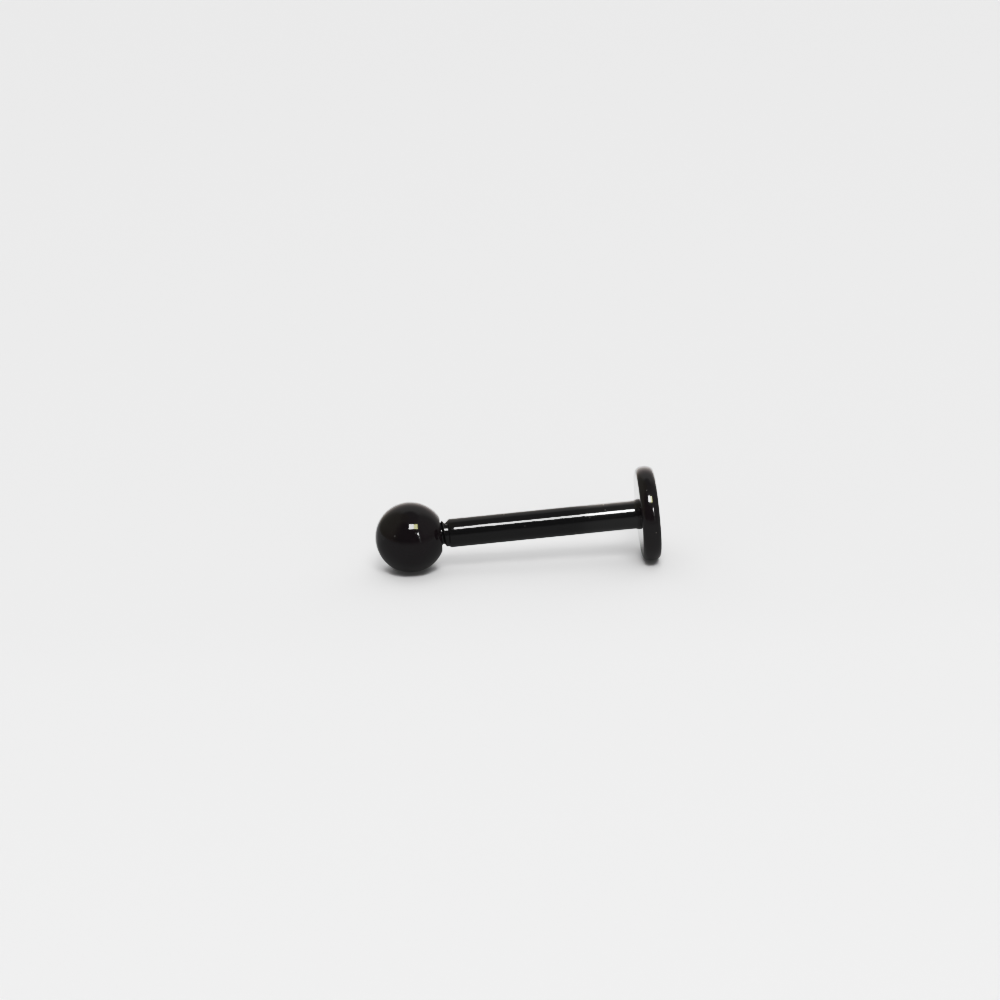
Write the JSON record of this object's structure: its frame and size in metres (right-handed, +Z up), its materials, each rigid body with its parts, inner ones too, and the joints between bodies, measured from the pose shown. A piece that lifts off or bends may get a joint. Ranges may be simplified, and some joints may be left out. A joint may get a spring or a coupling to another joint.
{
  "type": "labret stud",
  "caption": "Straight black labret stud lying on its side: a flat disc with a crowned rim on a plain post, and a screw-on ball at its threaded end.",
  "frame": {"origin": "middle of the stud's footprint, on the surface that it lies on", "axes": "+Z up; the stud lies along X with the ball at -X and the disc at +X, and its axis rises about 3 degrees towards the disc"},
  "size_m": [0.0122, 0.004, 0.004],
  "materials": {
    "post_black": "gloss black vapour-deposited coating on steel",
    "ball_black": "gloss black vapour-deposited coating on steel"
  },
  "bodies": {
    "post": {"labret_post": "post_black"},
    "ball": {"ball": "ball_black"}
  },
  "joints": [
    {"name": "ball_unscrew", "type": "slide", "parent": "post", "child": "ball", "axis": [-0.9987, 0, -0.0514], "range_m": [0, 0.01]}
  ]
}
